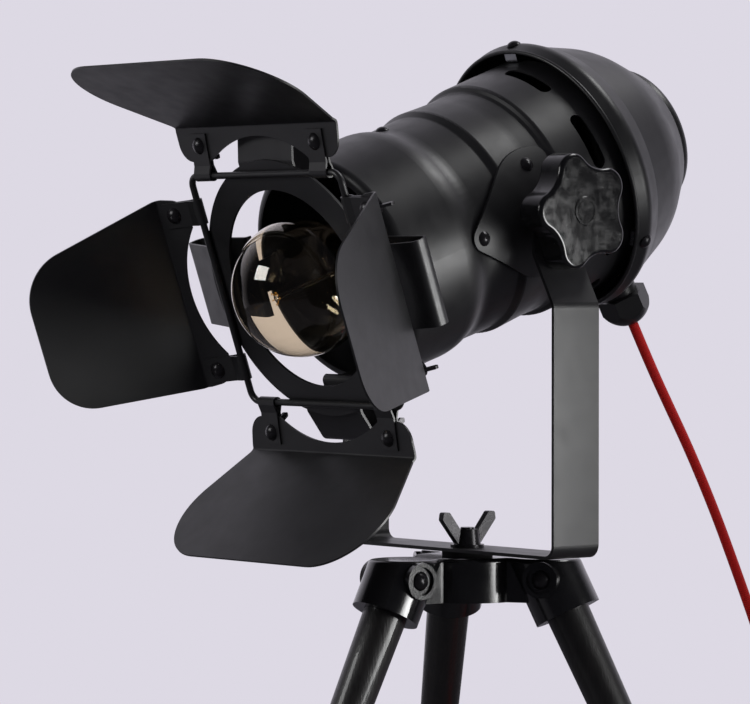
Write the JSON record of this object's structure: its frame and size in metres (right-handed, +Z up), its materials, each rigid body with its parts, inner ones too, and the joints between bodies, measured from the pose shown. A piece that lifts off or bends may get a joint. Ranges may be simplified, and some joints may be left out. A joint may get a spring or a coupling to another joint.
{
  "type": "tabletop searchlight lamp",
  "caption": "Small theatre-style searchlight on a wooden tripod, with a tilting spun can head, four hinged barn-door leaves, a bare globe bulb and a corded switch and plug.",
  "frame": {"origin": "on the table, under the middle of the lamp's bounding box without its cord", "axes": "+Z up, the lamp looks towards -Y, +X to the right as seen from behind the lamp's front; the tilt axis is along X"},
  "size_m": [0.2978, 0.5693, 0.5313],
  "materials": {
    "satin_black_paint": "satin black powder paint on spun and bent steel sheet",
    "gloss_black_casting": "gloss black paint on a casting",
    "black_stained_ash": "black lacquered ash with a fine open grain",
    "black_rubber": "matt black rubber",
    "black_oxide_steel": "blackened steel hardware",
    "zinc_steel": "bright zinc plated steel",
    "fibre_washer": "matt black fibre",
    "gloss_black_phenolic": "polished black phenolic moulding",
    "brass": "turned and pressed brass",
    "black_nylon": "satin black nylon",
    "red_textile": "red braided textile over a round mains cord",
    "lead_insulation": "thin silicone insulation, brown and blue",
    "smoked_glass": "thin smoked glass globe",
    "clear_glass": "clear glass",
    "filament_wire": "warm drawn filament wire"
  },
  "bodies": {
    "tripod": {"tripod_hub": "gloss_black_casting", "leg_front": "black_stained_ash", "leg_left": "black_stained_ash", "leg_right": "black_stained_ash", "rubber_feet": "black_rubber", "leg_bolts": "black_oxide_steel", "swivel_stud": "black_oxide_steel", "friction_washer": "fibre_washer", "cord_drop": "red_textile", "cord_link": "red_textile", "cord_coil": "red_textile", "cord_tie": "black_nylon", "cord_end": "red_textile", "plug_body": "black_nylon", "plug_pins": "zinc_steel", "switch_lower": "black_nylon", "switch_upper": "black_nylon"},
    "rocker": {"switch_rocker": "black_nylon"},
    "yoke_body": {"yoke": "satin_black_paint", "strip_washer": "black_oxide_steel"},
    "swivel_nut": {"wing_nut": "black_oxide_steel"},
    "head": {"can": "satin_black_paint", "rear_cap": "satin_black_paint", "cap_brackets": "zinc_steel", "head_screws": "black_oxide_steel", "saddles": "satin_black_paint", "saddle_rivets": "black_oxide_steel", "pivot_studs": "black_oxide_steel", "ring_plate": "satin_black_paint", "wire_frame": "satin_black_paint", "hook_clips": "satin_black_paint", "lamp_holder": "gloss_black_phenolic", "holder_contacts": "brass", "holder_bracket": "satin_black_paint", "terminal_block": "black_nylon", "inner_leads": "lead_insulation", "bulb_glass": "smoked_glass", "bulb_cap": "brass", "bulb_stem": "clear_glass", "bulb_filament": "filament_wire", "gland_body": "black_nylon", "gland_nut": "black_nylon", "gland_seal": "black_rubber", "inner_cord": "red_textile"},
    "knob_left": {"star_knob_left": "gloss_black_phenolic", "knob_insert_left": "brass"},
    "knob_right": {"star_knob_right": "gloss_black_phenolic", "knob_insert_right": "brass"},
    "top_leaf": {"leaf_top": "satin_black_paint", "straps_top": "satin_black_paint", "strap_screws_top": "black_oxide_steel"},
    "bottom_leaf": {"leaf_bottom": "satin_black_paint", "straps_bottom": "satin_black_paint", "strap_screws_bottom": "black_oxide_steel"},
    "left_leaf": {"leaf_left": "satin_black_paint", "straps_left": "satin_black_paint", "strap_screws_left": "black_oxide_steel"},
    "right_leaf": {"leaf_right": "satin_black_paint", "straps_right": "satin_black_paint", "strap_screws_right": "black_oxide_steel"}
  },
  "joints": [
    {"name": "swivel", "type": "hinge", "parent": "tripod", "child": "yoke_body", "pos_m": [0, 0.044, 0.23], "axis": [0, 0, 1], "range_deg": [-90, 90], "deforming": ["cord_drop"]},
    {"name": "tilt", "type": "hinge", "parent": "yoke_body", "child": "head", "pos_m": [0, 0.044, 0.4284], "axis": [1, 0, 0], "range_deg": [-30, 15.7], "deforming": ["cord_drop"]},
    {"name": "knob_left_turn", "type": "hinge", "parent": "head", "child": "knob_left", "pos_m": [0, 0.044, 0.4284], "axis": [-1, 0, 0], "range_deg": [0, 270]},
    {"name": "knob_right_turn", "type": "hinge", "parent": "head", "child": "knob_right", "pos_m": [0, 0.044, 0.4284], "axis": [1, 0, 0], "range_deg": [0, 270]},
    {"name": "wing_nut_turn", "type": "hinge", "parent": "tripod", "child": "swivel_nut", "pos_m": [0, 0.044, 0.2327], "axis": [0, 0, 1], "range_deg": [0, 270]},
    {"name": "rocker_switch", "type": "hinge", "parent": "tripod", "child": "rocker", "pos_m": [0.122, 0.2309, 0.0155], "axis": [0.9848, -0.1736, 0], "range_deg": [-16, 0]},
    {"name": "top_leaf_hinge", "type": "hinge", "parent": "head", "child": "top_leaf", "pos_m": [0, -0.1078, 0.44888], "axis": [1, 0, 0], "range_deg": [-6, 62]},
    {"name": "bottom_leaf_hinge", "type": "hinge", "parent": "head", "child": "bottom_leaf", "pos_m": [0, -0.06186, 0.31769], "axis": [-1, 0, 0], "range_deg": [-23, 45]},
    {"name": "left_leaf_hinge", "type": "hinge", "parent": "head", "child": "left_leaf", "pos_m": [-0.0695, -0.08483, 0.38328], "axis": [0, -0.3305, 0.9438], "range_deg": [-31, 37]},
    {"name": "right_leaf_hinge", "type": "hinge", "parent": "head", "child": "right_leaf", "pos_m": [0.0695, -0.08483, 0.38328], "axis": [0, 0.3305, -0.9438], "range_deg": [-16, 52]}
  ]
}
